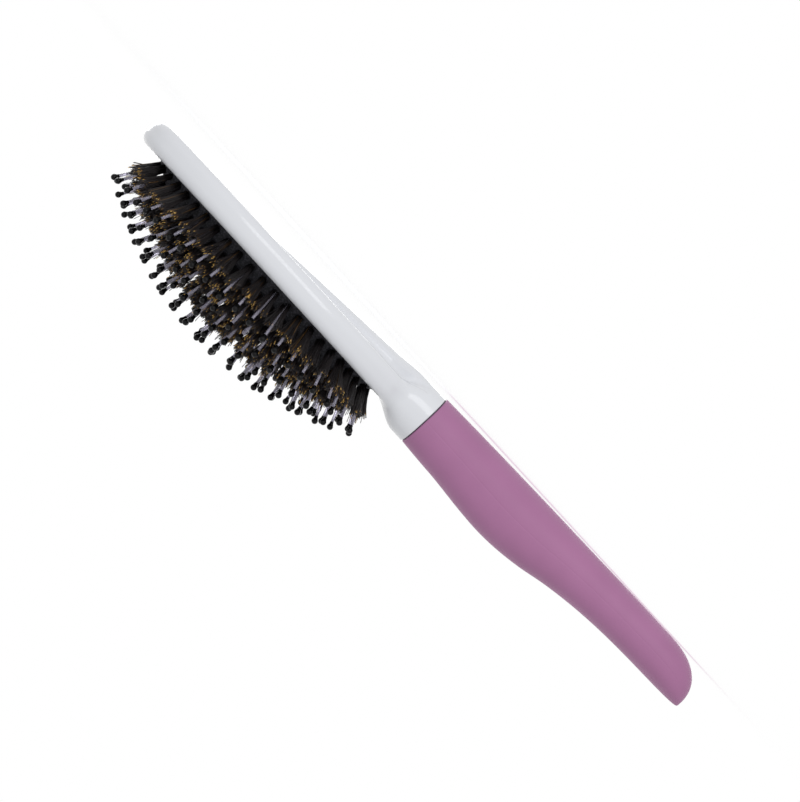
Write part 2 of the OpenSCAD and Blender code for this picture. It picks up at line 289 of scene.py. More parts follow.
def curve(knots, t):
    """Cubic through the knots (place, value), with each slope taken across the two neighbours."""
    knots = np.array(knots, float)
    place, value = knots.T
    i = np.clip(np.searchsorted(place, t, side="right") - 1, 0, len(place) - 2)
    here = np.arange(len(place))
    before, after = np.maximum(here - 1, 0), np.minimum(here + 1, len(place) - 1)
    slope = (value[after] - value[before]) / (place[after] - place[before])
    w = place[i + 1] - place[i]
    u = np.clip((t - place[i]) / w, 0, 1)
    return ((2 * u**3 - 3 * u**2 + 1) * value[i] + (u**3 - 2 * u**2 + u) * w * slope[i]
            + (3 * u**2 - 2 * u**3) * value[i + 1] + (u**3 - u**2) * w * slope[i + 1])


def squared(v, n):
    """Signed power 2/n, which squares up a circle into a rounded box."""
    return np.sign(v) * np.abs(v) ** (2 / n)


def crowded(end, reach, count, side):
    """Places that crowd towards an end: its distance grows with the square of an even step."""
    return end + side * reach * np.linspace(0, 1, count) ** 2


class Oval:
    """An oval of four arcs: two end arcs, and two side arcs that meet them without a corner."""

    def __init__(self, half_len, half_w, end_r):
        self.half_len = half_len
        self.end_r = end_r
        self.end_c = half_len - end_r
        self.side_r = (self.end_c**2 + half_w**2 - end_r**2) / (2 * (half_w - end_r))
        self.side_c = self.side_r - half_w

    def half_width(self, x, inset=0.0):
        """Half width at x when the oval is drawn in by inset: the arc that reigns there, 0 past the end."""
        ax = np.abs(x)
        meet = (self.side_r - inset) * self.end_c / (self.side_r - self.end_r)
        side = np.sqrt(np.maximum((self.side_r - inset) ** 2 - ax**2, 0)) - self.side_c
        end = np.sqrt(np.maximum((self.end_r - inset) ** 2 - (ax - self.end_c) ** 2, 0))
        return np.where(ax < meet, side, end)

    def ring(self, inset, pitch):
        """Points about a pitch apart round the oval drawn in by inset, from its end at +X.

        A quarter has an end arc, which is used up once the inset passes its radius, and a side arc, which
        starts where the end arc stops or where the two side arcs cross. The rest are its reflections.
        """
        end_r, side_r = max(self.end_r - inset, 0.0), self.side_r - inset
        meet = np.arctan2(self.side_c, self.end_c)
        start = max(meet, np.arcsin(min(1.0, self.side_c / side_r)))
        end_part = end_r * meet
        quarter = end_part + side_r * (np.pi / 2 - start)
        count = 2 * int(np.floor(2 * quarter / pitch + 0.5))
        share = np.arange(count) / count
        way = 4 * quarter * np.minimum(share, 1 - share)
        part = np.minimum(way, 2 * quarter - way)
        a, b = part / max(end_r, 1e-6), start + (part - end_part) / side_r
        x = np.where(part < end_part, self.end_c + end_r * np.cos(a), side_r * np.cos(b))
        y = np.where(part < end_part, end_r * np.sin(a), side_r * np.sin(b) - self.side_c)
        return np.stack([np.where(way < quarter, x, -x), np.where(share < 0.5, y, -y)], -1)

    def depth(self, x, y):
        """Distance from a point inside to the outline, measured to the arc of its sector."""
        ax, ay = np.abs(x), np.abs(y)
        at_end = ax * self.side_c > self.end_c * (ay + self.side_c)
        return np.where(at_end, self.end_r - np.hypot(ax - self.end_c, ay),
                        self.side_r - np.hypot(ax, ay + self.side_c))


# ---- Moulded frame ----


FRAME_POWER = 2.5
FOOT_R = 1.4


def ridge_half_width(d, seam_half):
    """Half width of the back's ridge at d before the seam: wide at the neck, narrow towards the tip."""
    return curve([(0, seam_half), (6, seam_half + 0.2), (11, 12.3), (18, 13), (27, 12), (42, 9.2),
                  (80, 5)], d)


def ridge_section(s, d, widest):
    """Half of the ridge's section at d before the seam: from its foot on the back to the middle line.

    It is the lower half of a squared circle, (w cos^0.8 a, m - h sin^0.8 a), from the angle at which it
    comes out of the plate's back, and a bezier curve rounds its foot. The ridge's low line climbs to the
    back at its end, where the section shrinks to a point. Returns the widths and the drops below the back.
    """
    back = s.face_z - s.plate_t
    climb = np.clip((d - 9) / (s.ridge_len - 9), 0, 1) * smooth(2, 20, d)
    low = s.collar_low + (back - s.collar_low) * climb
    high = s.face_z - s.recess - 1
    middle, half = (low + high) / 2, (high - low) / 2
    wide = np.minimum(ridge_half_width(d, s.neck_w), widest)
    first = np.arcsin(np.clip((middle - back) / half, 0, 1) ** (FRAME_POWER / 2))
    a = first + (np.pi / 2 - first) * np.linspace(0, 1, 14)
    y = wide * squared(np.cos(a), FRAME_POWER)
    z = middle - half * squared(np.sin(a), FRAME_POWER)
    foot = np.minimum(back - z[:, 2:3], FOOT_R)
    t = np.linspace(0, 1, 6)[:-1]
    foot_y = (1 - t) ** 2 * (y[:, :1] + foot) + 2 * t * (1 - t) * y[:, :1] + t**2 * y[:, 2:3]
    foot_z = (1 - t**2) * back + t**2 * z[:, 2:3]
    return np.hstack([foot_y, y[:, 2:]]), back - np.hstack([foot_z, z[:, 2:]])


def frame_stations(s, seam_x, head_x, tip_x, open_half):
    """Places of the sections along X, crowded where an outline closes and at the collar's rounded end."""
    end = seam_x + s.collar_r * (1 - np.cos(np.radians([0, 25, 50, 75, 90])))
    neck = np.arange(seam_x + 1.2, seam_x + 24, 0.75)
    body = np.arange(seam_x + 24, tip_x - 14, 2.2)
    tip = crowded(tip_x, 14, 34, -1)
    openings = [crowded(head_x + side * open_half, 10, 18, -side) for side in (-1, 1)]
    lips = [head_x + side * (open_half + s.lip_r * np.linspace(0, 1, 5) ** 1.5) for side in (-1, 1)]
    return np.unique(np.round(np.concatenate([end, neck, body, tip, *openings, *lips]), 4))


def frame_sections(s):
    """The frame as sections across the brush, from the collar's end to the tip.

    Half a section starts in the middle of the recess and goes over the lip, the flat rim, the rounded
    edge, the side, the lower edge and the back with its ridge to the middle of the back. Each rounded
    edge is the oval drawn in by r(1 - cos a) at a height of r sin a. Where an outline closes, the part
    of the section inside it shrinks to a point. Towards the seam the section turns by a smooth step
    into a rounded box, the collar, and the oval's half width runs into the neck's by a smooth maximum.
    """
    tip_x = HEAD_HIGH[0]
    head_x = tip_x - s.head_len / 2
    seam_x = SEAM_X
    plate = Oval(s.head_len / 2, s.head_w / 2, s.plan_r)
    opening = Oval(s.head_len / 2 - s.rim_tip, s.head_w / 2 - s.rim_side, s.open_r)
    x = frame_stations(s, seam_x, head_x, tip_x, opening.half_len)[:, None]
    local, d, r = x - head_x, x - seam_x, s.edge_r

    def outer(inset):
        width = plate.half_width(local, inset)
        neck = np.where(local < 0, s.neck_w - inset, -20.0)
        soft = 7.0
        return np.maximum(width, neck) + np.maximum(soft - np.abs(width - neck), 0) ** 2 / (4 * soft)

    # How far in from the edge a section reaches before it meets the middle line, near the tip
    reach = np.where(local > 0, np.clip(tip_x - x, 0, r), r)
    turn = np.arccos(1 - reach / r)
    rounded = np.linspace(0, 1, 10)
    top_z = s.face_z - r + r * np.sin(turn)

    past = np.clip(np.abs(local) - opening.half_len, 0, s.lip_r)
    lip_turn = np.arccos(1 - past / s.lip_r)
    lip_a = lip_turn + (np.pi / 2 - lip_turn) * np.linspace(0, 1, 5)
    lip_y = opening.half_width(local, -s.lip_r * (1 - np.cos(lip_a)))
    lip_y = np.where(np.abs(local) >= opening.half_len + s.lip_r, 0, lip_y)
    lip_z = np.minimum(s.face_z - s.lip_r + s.lip_r * np.sin(lip_a), top_z)
    inside = np.abs(local) <= opening.half_len
    well_y = opening.half_width(local, 0.0) * np.array([0, 0.5, 1])
    well_y = np.where(inside, well_y, 0)
    well_z = np.where(inside, s.face_z - s.recess, lip_z[:, :1]) * np.ones((1, 3))

    rim = np.array([0.04, 0.3, 0.7, 0.96])
    rim_y = lip_y[:, -1:] + (outer(reach) - lip_y[:, -1:]) * rim
    rim_z = top_z * np.ones((1, len(rim)))
    edge_a = turn * (1 - rounded)
    edge_y = outer(r * (1 - np.cos(edge_a)))
    edge_z = s.face_z - r + r * np.sin(edge_a)
    low_a = turn * rounded
    low_y = outer(r * (1 - np.cos(low_a)))
    low_z = s.face_z - s.plate_t + r - r * np.sin(low_a)
    ridge_y, ridge_drop = ridge_section(s, d, np.maximum(outer(reach) - 2.5, 0))
    flat = np.array([0.03, 0.15, 0.35, 0.6, 0.85])
    flat_y = outer(reach) + (ridge_y[:, :1] - outer(reach)) * flat
    back_y = np.hstack([flat_y, ridge_y])
    back_z = s.face_z - s.plate_t + r - r * np.sin(turn) - np.hstack([0 * flat_y, ridge_drop])

    y = np.hstack([well_y, lip_y, rim_y, edge_y, low_y, back_y])
    z = np.hstack([well_z, lip_z, rim_z, edge_z, low_z, back_z])

    # The collar's section: each column keeps its share of the way round
    way = np.concatenate([np.zeros(well_y.shape[1] + lip_y.shape[1]), 0.28 * rim, 0.28 + 0.19 * rounded,
                          0.53 + 0.19 * rounded, 0.72 + 0.28 * np.linspace(0, 1, back_y.shape[1])])
    angle = np.pi * (0.5 - way)
    pull = s.collar_r - np.sqrt(np.maximum(s.collar_r**2 - np.maximum(s.collar_r - d, 0) ** 2, 0))
    middle, half = (s.collar_low + s.collar_high) / 2, (s.collar_high - s.collar_low) / 2
    collar_y = (s.neck_w - 0.15 - pull) * squared(np.cos(angle), FRAME_POWER)
    collar_z = middle + (half - pull) * squared(np.sin(angle), FRAME_POWER)
    blend = smooth(15.5, 4.5, d)
    y = y + (collar_y - y) * blend
    z = z + (collar_z - z) * blend

    y = np.hstack([y, -y[:, -2:0:-1]])
    z = np.hstack([z, z[:, -2:0:-1]])
    sections = np.stack([x * np.ones_like(y), y, z], -1)
    cap = np.array([seam_x, 0, middle]) * np.ones((1, y.shape[1], 3))
    return np.concatenate([cap, sections])


# ---- Soft grip ----


BACK_LINE = [(0, 1.5), (14, 1.1), (30, 0.75), (45, 0.5), (67, 0.25), (86, 0), (100, 0), (120, 0)]
FRONT_LINE = [(0, 20.2), (8, 20.6), (16, 20.9), (27, 21.7), (36, 22), (44, 21.5), (53, 20.1),
              (62, 18), (72, 16.3), (82, 15.2), (92, 14.6), (104, 14.3), (120, 14.15)]
END_LEN = 17.5
END_CREST = 12.6
GRIP_POWER = 2.4
MOUTH_R = 0.4
# Half the angle, in degrees, that the parting line takes up on the section
PARTING_TURN = 0.45


def grip_rings(s, t, inset):
    """Rings of the handle at t past the seam, drawn in by inset.

    Each ring is a circle squared up by a signed power 2/2.4 between the back line and the front line,
    as wide as the width line. Over the rounded end the ring closes as (1 - u^2.4)^(1/2.4).
    A fine groove runs down both sides, where the halves of the mould met.
    """
    t, inset = np.asarray(t, float)[:, None], np.asarray(inset, float)[:, None]
    end_start = s.handle_len - END_LEN
    u = np.clip((t - end_start) / (s.handle_len - inset - end_start), 0, 1)
    k = (1 - u**GRIP_POWER) ** (1 / GRIP_POWER)
    wide = curve([(0, s.seam_w / 2), (18, s.seam_w / 2 + 0.5), (38, s.palm_w / 2),
                  (64, s.palm_w / 2 - 0.9), (92, s.tail_w / 2), (120, s.tail_w / 2)], t)
    high = curve(FRONT_LINE, t) - inset
    low = curve(BACK_LINE, t) + inset
    crest = END_CREST - inset
    high = crest + (high - crest) * np.where(t < end_start, 1, k**0.5)
    low = crest + (low - crest) * k
    fine = np.array([0, 0.35, 0.7, 1.1])
    quarter = np.concatenate([fine, np.linspace(3, 90, 19)])
    a = np.radians(np.concatenate([quarter, 180 - quarter[-2::-1], 180 + quarter[1:],
                                   360 - quarter[-2:0:-1]]))
    from_side = np.degrees(np.arcsin(np.abs(np.sin(a))))
    groove = s.groove * np.exp(-(from_side / PARTING_TURN) ** 2) * (inset < 0.01)
    y = ((wide - inset) * squared(np.cos(a), GRIP_POWER) - groove * np.sign(np.cos(a))) * k
    z = (low + high) / 2 + (high - low) / 2 * squared(np.sin(a), GRIP_POWER)
    return np.stack([SEAM_X - t * np.ones_like(y), y, z], -1)


def grip_sleeve(s):
    """The sleeve as one closed skin: up the inside from its end, over the mouth, down the outside."""
    end_start = s.handle_len - END_LEN

    def end_rows(inset, count):
        turn = np.radians(np.linspace(0, 90, count))
        return end_start + (s.handle_len - inset - end_start) * np.sin(turn)

    inner = np.concatenate([np.linspace(s.seam_gap, end_start, 20)[:-1], end_rows(s.sleeve_t, 12)])[::-1]
    turn = np.radians([0, 18, 36, 54, 72, 90])
    mouth = s.seam_gap + MOUTH_R * (1 - np.cos(turn))
    mouth_inset = MOUTH_R * (1 - np.sin(turn))
    outer = np.concatenate([np.linspace(s.seam_gap + 1.4, end_start, 62)[:-1], end_rows(0, 34)])
    t = np.concatenate([inner, mouth, outer])
    inset = np.concatenate([np.full(len(inner), s.sleeve_t), mouth_inset, np.zeros(len(outer))])
    return grip_rings(s, t, inset)


# ---- Bristle field ----

# The middle row's share of the innermost ring's length, and the shares of the dome's height at which the
# six zones start
MIDDLE_SHARE = 0.3
ZONE_FLOORS = (0, 0.25, 0.46, 0.64, 0.8, 0.91)


class Dome:
    """The cushion's dome: a circle about a lengthwise axis, whose radius follows a second, long arc."""

    def __init__(self, s):
        self.top = s.cushion.dome_h
        self.cross_r = (s.cushion.half_w**2 + self.top**2) / (2 * self.top)
        self.sweep_r = (s.cushion.half_len**2 + self.top**2) / (2 * self.top)
        self.drop = self.cross_r - self.top

    def radius(self, x):
        return self.cross_r - self.sweep_r + np.sqrt(self.sweep_r**2 - x**2)

    def height(self, x, y):
        """Height above the face: the circle of the radius at x, less the axis's depth."""
        return np.sqrt(np.maximum(self.radius(x) ** 2 - y**2, 0)) - self.drop


def tuft_places(s):
    """Where the tufts stand: x from the cushion's middle, turn about the dome's axis, and the widest turn.

    The rubber is laid out flat. Rings of tufts stand on ovals drawn in one from the other, with a short
    row in the middle. Lengths along the flat oval are arc lengths of the dome, lengthwise and across.
    """
    b, dome = s.bristles, Dome(s)
    last = np.sqrt(dome.sweep_r**2 - (dome.sweep_r - dome.top + b.end_root) ** 2)
    full = np.arccos((dome.drop + b.side_root) / dome.cross_r)
    half_w = dome.cross_r * full
    field = Oval(dome.sweep_r * np.arcsin(last / dome.sweep_r), half_w, b.field_r)
    count = int(np.floor(half_w / b.pitch + 0.5))
    rings = [field.ring(i * half_w / count, b.pitch) for i in range(count)]
    reach = int(MIDDLE_SHARE * rings[-1][0, 0] / b.pitch)
    row = b.pitch * np.arange(-reach, reach + 1)
    flat = np.concatenate(rings + [np.stack([row, 0 * row], -1)])
    x = dome.sweep_r * np.sin(flat[:, 0] / dome.sweep_r)
    return x, flat[:, 1] / dome.radius(x), full


def tuft_frames(s):
    """Root and three axes of every tuft, with a small seeded unevenness, and the zone it belongs to.

    A tuft leans to the side by its share of the outermost turn, and along the brush by the long arc.
    """
    dome = Dome(s)
    x, turn, full = tuft_places(s)
    height = dome.radius(x) * np.cos(turn) - dome.drop
    root = np.stack([HEAD_HIGH[0] - s.head.head_len / 2 + x, dome.radius(x) * np.sin(turn),
                     s.head.face_z + height], -1)
    a, b = np.radians(-s.field.lean) * turn / full, np.arcsin(x / dome.sweep_r)
    up = np.stack([np.cos(a) * np.sin(b), -np.sin(a), np.cos(a) * np.cos(b)], -1)
    rng = np.random.default_rng(SEED)
    up += rng.normal(0, np.radians(s.field.unrest), up.shape)
    zone = np.searchsorted(ZONE_FLOORS, height / dome.top + 1e-6, side="right")
    return framed(root, up, zone)


def framed(root, up, zone):
    """Tuft frames from roots and directions: each direction gets two more axes square to it."""
    up = up / np.linalg.norm(up, axis=1, keepdims=True)
    across = np.cross(up, [1.0, 0, 0])
    across /= np.linalg.norm(across, axis=1, keepdims=True)
    return SimpleNamespace(root=root, along=np.cross(across, up), across=across, up=up, zone=zone)


def pin_frames(s):
    """The tufts' frames again, each turned a little further, because no pin stands quite true."""
    f = tuft_frames(s)
    rng = np.random.default_rng(SEED + 2)
    return framed(f.root, f.up + rng.normal(0, np.radians(s.field.pin_unrest), f.up.shape), f.zone)


def in_zone(f, zone):
    """The tuft frames of one zone."""
    pick = f.zone == zone
    return framed(f.root[pick], f.up[pick], f.zone[pick])


def placed(f, p):
    """Points given in each tuft's own frame, tufts by points by three, put on the brush."""
    return (f.root[:, None] + p[..., :1] * f.along[:, None] + p[..., 1:2] * f.across[:, None]
            + p[..., 2:] * f.up[:, None])


# A bristle's stations along its length, and how thick it is there; the last one is its cut tip
STRAND_STEPS = np.array([0, 0.36, 0.72, 0.93, 0.98, 1.0])
STRAND_THICK = np.array([1.0, 1.0, 0.95, 1.05, 1.2, 0])
# The shares of bristles that stray outwards, stand taller, or are paler along their whole length; the paler
# ones are partly a lighter hair, partly a painted highlight along the bristle
STRAY_SHARE, TALL_SHARE, PALE_HAIR_AND_SHEEN_SHARE = 0.03, 0.05, 0.03
PALE_HAIR_AND_SHEEN_TONE = 0.91


def tuft_strands(s, f, rng):
    """Boar bristles as tapered three-sided strands: each leaves its root on a disc and splays outwards.

    A tuft is made of wisps. The strands of a wisp start close together, bend the same way and end in
    about the same tone. The way out grows with the power 1.5 of the length, and the bend with its
    square. A strand keeps its thickness up to its cut tip. The tone grows along it from 0 to the
    strand's own brightest value, so only some tips reach the ramp's amber.
    """
    b, n, count, wisps = s.bristles, len(f.root), s.field.strands, s.field.wisps
    shape = (n, count)
    wisp = np.arange(n)[:, None], rng.integers(0, wisps, shape)

    def by_wisp(values, spread):
        return values[wisp] + rng.normal(0, spread, shape + values.shape[2:])

    share = np.clip(by_wisp(np.sqrt(rng.uniform(0, 1, (n, wisps))), 0.12), 0, 1)
    angle = by_wisp(rng.uniform(0, 2 * np.pi, (n, wisps)), 0.3)
    stray = rng.uniform(0, 1, shape) < STRAY_SHARE
    tall = (1 + rng.normal(0, 0.03, (n, 1))
            + np.clip(by_wisp(rng.normal(0, 0.05, (n, wisps)), 0.04), -0.2, 0.12)
            + 0.3 * rng.uniform(0, 1, shape) * (rng.uniform(0, 1, shape) < TALL_SHARE))
    length = b.boar_len * tall - 0.7 * share**4 * rng.uniform(0, 1, shape)
    open_out = rng.uniform(0.8, 1.4, (n, 1)) * by_wisp(rng.uniform(0.7, 1.3, (n, wisps)), 0.15)
    splay = (b.tuft_tip_r - b.tuft_r) * share * open_out + 1.2 * stray
    bend = by_wisp(rng.normal(0, 0.4, (n, wisps, 2)), 0.14) + rng.normal(0, 0.3, (n, 1, 2))
    t, thick = STRAND_STEPS, b.strand_r * STRAND_THICK
    out = share[..., None] * b.tuft_r + splay[..., None] * t**1.5
    centre = np.stack([out * np.cos(angle)[..., None] + bend[..., :1] * t**2,
                       out * np.sin(angle)[..., None] + bend[..., 1:] * t**2,
                       length[..., None] * t - 0.4 * (1 - t)], -1)
    side = angle[..., None] + 2 * np.pi * np.arange(3) / 3
    ring = np.stack([np.cos(side), np.sin(side), np.zeros_like(side)], -1)
    steps = len(t) - 1
    rings = centre[..., :steps, None, :] + thick[:steps, None, None] * ring[..., None, :, :]
    points = np.concatenate([rings.reshape(n, count, 3 * steps, 3), centre[..., steps:, :]], 2)
    each = 3 * steps + 1
    points = placed(f, points.reshape(n, count * each, 3)).reshape(-1, 3)

    r, c = np.meshgrid(np.arange(steps - 1), np.arange(3), indexing="ij")
    d = (c + 1) % 3
    walls = np.stack([3 * r + c, 3 * r + d, 3 * r + 3 + d, 3 * r + 3 + c], -1).reshape(-1, 4)
    rim = each - 4
    ends = np.array([[rim, rim + 1, rim + 3], [rim + 1, rim + 2, rim + 3], [rim + 2, rim, rim + 3],
                     [2, 1, 0]])
    first = each * np.arange(n * count)[:, None, None]
    brightest = np.clip(by_wisp(rng.uniform(0.6, 0.98, (n, wisps)), 0.12), 0.7, 1.0)[..., None]
    # A few bristles are paler all along: partly a lighter hair, partly a painted highlight that stands in
    # for light running along a bristle
    pale = (rng.uniform(0, 1, shape) < PALE_HAIR_AND_SHEEN_SHARE)[..., None]
    tone = np.maximum(np.append(np.repeat(t[:-1], 3), 1.0) * brightest, PALE_HAIR_AND_SHEEN_TONE * pale)
    return points, [(first + walls).reshape(-1, 4), (first + ends).reshape(-1, 3)], tone.reshape(-1)


def turned(f, profile, sides):
    """A profile of (radius, height) pairs turned about each tuft's axis, closed where the radius is 0."""
    a = 2 * np.pi * np.arange(sides) / sides
    radius, height = np.array(profile, float).T
    ring = np.stack([radius[:, None] * np.cos(a), radius[:, None] * np.sin(a),
                     height[:, None] + 0 * a], -1)
    n, rows = len(f.root), len(profile)
    local = np.broadcast_to(ring.reshape(1, -1, 3), (n, rows * sides, 3))
    points = placed(f, local).reshape(-1, 3)
    first = rows * sides * np.arange(n)[:, None, None]
    return welded(points, (first + grid_quads(rows, sides)[:, ::-1]).reshape(-1, 4))


def ball_profile(b):
    """A drop: a sphere whose underside draws out in a smooth curve to the pin."""
    a = np.radians(np.linspace(-38, 90, 9))
    sphere = np.stack([b.ball_r * np.cos(a), b.pin_len + b.ball_r * np.sin(a)], -1)
    sphere[-1, 0] = 0
    neck = [(0, b.pin_len - 1.75 * b.ball_r), (b.pin_r + 0.04, b.pin_len - 1.7 * b.ball_r),
            (b.pin_r + 0.1, b.pin_len - 1.1 * b.ball_r)]
    return neck + [tuple(p) for p in sphere]


# ---- Cushion ----

# The dimple that a tuft pulls into the rubber, and the low collar round it
DIMPLE_DEPTH, DIMPLE_R = 0.5, 1.3
COLLAR_HEIGHT, COLLAR_PLACE, COLLAR_SPREAD = 0.2, 1.9, 0.4


def cushion_sections(s, roots):
    """The cushion as sections across the brush: the domed top, the roll at its edge, a straight side
    and a flat underside. Each tuft sits in a dimple with a low collar round it, both bell-shaped.
    """
    c, dome, head_x = s.cushion, Dome(s), HEAD_HIGH[0] - s.head.head_len / 2
    oval = Oval(c.half_len, c.half_w, c.end_r)
    x = c.half_len * np.sin(np.pi / 2 * np.linspace(-1, 1, 281))[:, None]
    y = oval.half_width(x) * np.sin(np.pi / 2 * np.linspace(-1, 1, 161))
    x = x * np.ones_like(y)
    depth = np.clip(oval.depth(x, y), 0, c.roll_r)
    top = dome.height(x, y) - c.roll_r + np.sqrt(np.maximum(c.roll_r**2 - (c.roll_r - depth) ** 2, 0))
    away = np.full(x.shape, c.half_len)
    for rx, ry, _ in roots:
        away = np.minimum(away, np.hypot(head_x + x - rx, y - ry))
    top += (COLLAR_HEIGHT * np.exp(-(((away - COLLAR_PLACE) / COLLAR_SPREAD) ** 2))
            - DIMPLE_DEPTH * np.exp(-((away / DIMPLE_R) ** 2)))
    edge = np.stack([x[:, 0], y[:, -1], np.full(len(x), -c.side_h)], -1)[:, None]
    opposite = edge * [1, -1, 1]
    points = np.concatenate([np.stack([x, y, top], -1), edge, opposite], 1)
    return points + [head_x, 0, s.head.face_z]


# ---- Materials ----


def add(tree, kind, links=None, **values):
    """Adds a node: sets its properties and open inputs by name, and links the inputs named in links."""
    node = tree.nodes.new(kind)
    for name, value in values.items():
        if hasattr(node, name) and name not in node.inputs:
            setattr(node, name, value)
        else:
            node.inputs[name.replace("_", " ")].default_value = value
    for name, source in (links or {}).items():
        tree.links.new(source, node.inputs[name])
    return node


def material(name):
    """An empty node material with its Principled shader and Object coordinates."""
    made = bpy.data.materials.new(name)
    made.use_nodes = True
    tree = made.node_tree
    shader = tree.nodes["Principled BSDF"]
    where = tree.nodes.new("ShaderNodeTexCoord").outputs["Object"]
    return made, tree, shader, where


def noise(tree, where, size, detail=2.0, roughness=0.5):
    """Noise whose cells are about size millimetres across."""
    node = add(tree, "ShaderNodeTexNoise", {"Vector": where}, Scale=1000.0 / size, Detail=detail,
               Roughness=roughness)
    return node.outputs["Fac"]


def shades(tree, factor, stops):
    """Colour ramp through (place, linear colour) stops."""
    ramp = tree.nodes.new("ShaderNodeValToRGB")
    tree.links.new(factor, ramp.inputs["Fac"])
    while len(ramp.color_ramp.elements) < len(stops):
        ramp.color_ramp.elements.new(0.5)
    for element, (place, tint) in zip(ramp.color_ramp.elements, stops):
        element.position = place
        element.color = (*tint[:3], 1)
    return ramp.outputs["Color"]


def between(tree, factor, low, high):
    """A value that goes from low to high as the factor goes from 0 to 1."""
    return add(tree, "ShaderNodeMapRange", {"Value": factor}, To_Min=low, To_Max=high).outputs["Result"]


def bumps(tree, shader, factor, height):
    """Bump of this height in millimetres."""
    node = add(tree, "ShaderNodeBump", {"Height": factor}, Distance=height * MM, Strength=1.0)
    tree.links.new(node.outputs["Normal"], shader.inputs["Normal"])


def gloss(shader, ior, level=0.5):
    """The index of refraction, and the level of gloss: 0.5 leaves it as the index gives it."""
    shader.inputs["IOR"].default_value = ior
    shader.inputs["Specular IOR Level"].default_value = level


def tinted(tint, factor):
    """A colour made lighter or darker by a factor."""
    return tuple(min(1.0, c * factor) for c in tint)


def gloss_abs(tint):
    """ABS, injection moulded in a polished tool: clean white, a mirror-like skin, faint flow ripples."""
    made, tree, shader, where = material("abs_moulded_gloss_white")
    flow = noise(tree, where, 18.0)
    tree.links.new(shades(tree, flow, [(0.3, tinted(tint, 0.985)), (0.7, tint)]),
                   shader.inputs["Base Color"])
    tree.links.new(between(tree, noise(tree, where, 4.0), 0.12, 0.2), shader.inputs["Roughness"])
    gloss(shader, 1.53)
    bumps(tree, shader, flow, 0.02)
    return made


def soft_touch(tint):
    """Soft-touch polyurethane lacquer, sprayed: satin, with a fine grain that spreads the highlights."""
    made, tree, shader, where = material("soft_touch_lacquer_mauve")
    cloud = noise(tree, where, 14.0)
    tree.links.new(shades(tree, cloud, [(0.3, tinted(tint, 0.96)), (0.7, tinted(tint, 1.03))]),
                   shader.inputs["Base Color"])
    # The lacquer's grain is about 0.1 mm across; it is drawn at 0.5 mm so that it shows
    grain = noise(tree, where, 0.5, 3.0, 0.7)
    tree.links.new(between(tree, grain, 0.42, 0.56), shader.inputs["Roughness"])
    gloss(shader, 1.5, 0.2)
    bumps(tree, shader, grain, 0.012)
    return made


def satin_core(tint):
    """Polypropylene, moulded against a blasted tool: dull satin, made dark so that the gap at the seam
    shows as a dark line, a painted shade; its own colour is not seen.
    """
    made, tree, shader, where = material("polypropylene_satin_painted_seam_shade")
    grain = noise(tree, where, 0.6)
    tree.links.new(shades(tree, grain, [(0.3, tinted(tint, 0.85)), (0.7, tinted(tint, 1.15))]),
                   shader.inputs["Base Color"])
    tree.links.new(between(tree, grain, 0.4, 0.55), shader.inputs["Roughness"])
    gloss(shader, 1.49)
    bumps(tree, shader, grain, 0.02)
    return made


def stippled_rubber(tint):
    """Natural rubber, moulded against an etched tool: near black, matt, with a close stipple."""
    made, tree, shader, where = material("natural_rubber_moulded_stippled")
    # The stipple's points are about 0.3 mm apart; they are drawn at 0.7 mm so that they show
    points = add(tree, "ShaderNodeTexVoronoi", {"Vector": where}, Scale=1000.0 / 0.7).outputs["Distance"]
    tree.links.new(shades(tree, points, [(0.1, tinted(tint, 2.2)), (0.6, tinted(tint, 0.5))]),
                   shader.inputs["Base Color"])
    tree.links.new(between(tree, noise(tree, where, 1.2), 0.5, 0.7), shader.inputs["Roughness"])
    gloss(shader, 1.52, 0.2)
    bumps(tree, shader, points, -0.12)
    return made


def boar_bristle(tint, amber):
    """Natural boar bristle, washed and bundled: nearly black, with a waxy shine and amber split tips.

    The tone along a bristle goes through its dark root and its black length to the amber of the tip.
    """
    made, tree, shader, where = material("boar_bristle_natural")
    tone = add(tree, "ShaderNodeAttribute", attribute_name="tone").outputs["Fac"]
    tree.links.new(shades(tree, tone, [(0.1, tinted(tint, 0.6)), (0.86, tint), (0.91, tinted(amber, 0.2)),
                                       (0.95, tinted(amber, 0.8)), (0.98, tinted(amber, 2.2))]),
                   shader.inputs["Base Color"])
    tree.links.new(between(tree, noise(tree, where, 1.0), 0.3, 0.5), shader.inputs["Roughness"])
    gloss(shader, 1.54, 0.5)
    return made


def nylon(tint):
    """Nylon monofilament, drawn and cut: milky and half clear, pale lavender in the light."""
    made, tree, shader, where = material("nylon_drawn_clear_lavender")
    cloud = noise(tree, where, 3.0)
    tree.links.new(shades(tree, cloud, [(0.3, tinted(tint, 0.92)), (0.7, tint)]),
                   shader.inputs["Base Color"])
    tree.links.new(between(tree, cloud, 0.2, 0.3), shader.inputs["Roughness"])
    gloss(shader, 1.53)
    shader.inputs["Transmission Weight"].default_value = 0.78
    return made


def ball_enamel(tint):
    """Epoxy enamel, dipped and baked: black drops with a small sharp highlight."""
    made, tree, shader, where = material("epoxy_enamel_dipped_black")
    cloud = noise(tree, where, 1.0)
    tree.links.new(shades(tree, cloud, [(0.3, tinted(tint, 0.8)), (0.7, tinted(tint, 1.4))]),
                   shader.inputs["Base Color"])
    tree.links.new(between(tree, cloud, 0.1, 0.2), shader.inputs["Roughness"])
    gloss(shader, 1.5, 0.15)
    return made


# ---- Stage ----

# The view: the middle of the frame on the brush, how the camera is turned, and how wide it sees
VIEW_MIDDLE = (0.00655, 0, 0.0124)
VIEW_DISTANCE = 2.0
VIEW_YAW = 3.0
VIEW_PITCH = 0.55
VIEW_ROLL = -132.65
VIEW_WIDTH = 0.2447
SENSOR_WIDTH = 36.0

